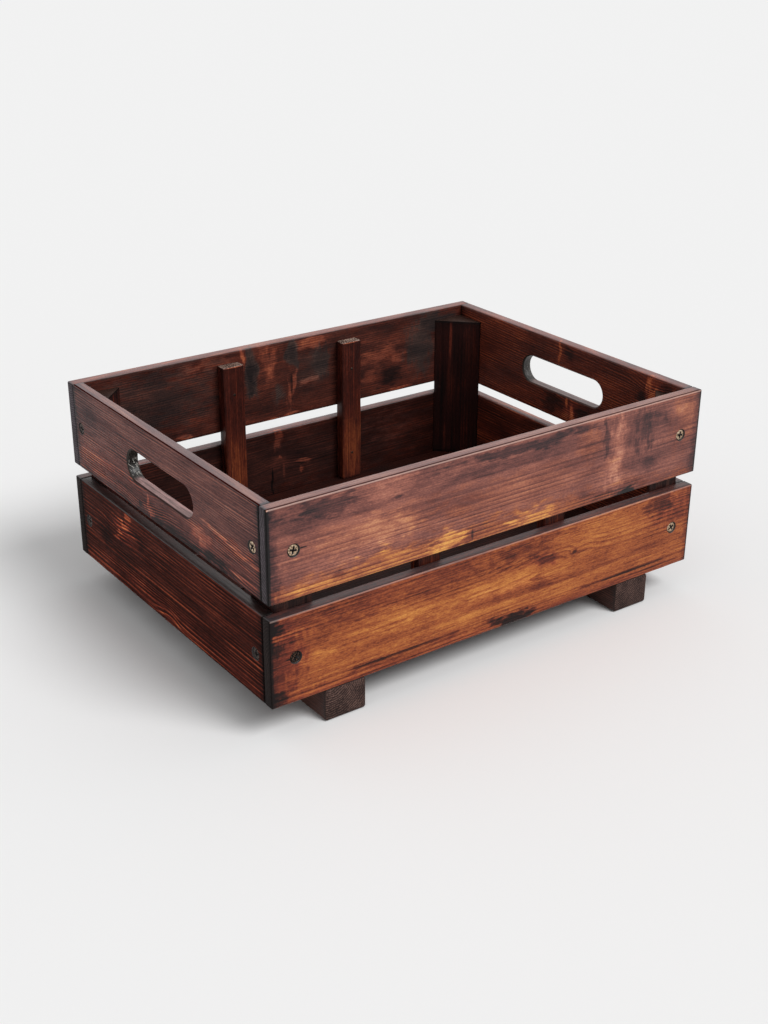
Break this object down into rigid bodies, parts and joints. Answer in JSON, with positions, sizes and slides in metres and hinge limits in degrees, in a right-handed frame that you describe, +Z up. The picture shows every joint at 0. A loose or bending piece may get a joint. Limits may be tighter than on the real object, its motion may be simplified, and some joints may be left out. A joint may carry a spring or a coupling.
{
  "type": "wooden bike crate",
  "caption": "Slatted wooden crate for a bicycle, scorched and varnished, with corner posts, inner battens, hand slots in the ends, a slatted floor and runners",
  "frame": {"origin": "in the middle of the crate, on the surface that the runners stand on", "axes": "X runs along the front from left to right, Y from the front to the back, Z up"},
  "size_m": [0.4, 0.302, 0.1747],
  "materials": {
    "front_boards": "scorched softwood under satin varnish",
    "back_boards": "darkly scorched softwood under satin varnish",
    "end_boards": "darkly scorched softwood under satin varnish",
    "posts": "scorched softwood under satin varnish",
    "battens": "scorched softwood under satin varnish",
    "floor": "darkly scorched softwood under satin varnish",
    "runners": "scorched softwood under satin varnish",
    "screws": "dull passivated",
    "pins": "plain bright"
  },
  "bodies": {
    "root": {"front_upper_board": "front_boards", "front_lower_board": "front_boards", "back_upper_board": "back_boards", "back_lower_board": "back_boards", "left_upper_board": "end_boards", "left_lower_board": "end_boards", "right_upper_board": "end_boards", "right_lower_board": "end_boards", "front_left_post": "posts", "front_right_post": "posts", "back_left_post": "posts", "back_right_post": "posts", "front_left_batten": "battens", "front_right_batten": "battens", "back_left_batten": "battens", "back_right_batten": "battens", "floor_slat_1": "floor", "floor_slat_2": "floor", "floor_slat_3": "floor", "floor_slat_4": "floor", "left_runner": "runners", "right_runner": "runners", "front_screws": "screws", "back_screws": "screws", "left_screws": "screws", "right_screws": "screws", "floor_screws": "screws", "post_screws": "screws", "batten_pins": "pins"}
  },
  "joints": []
}
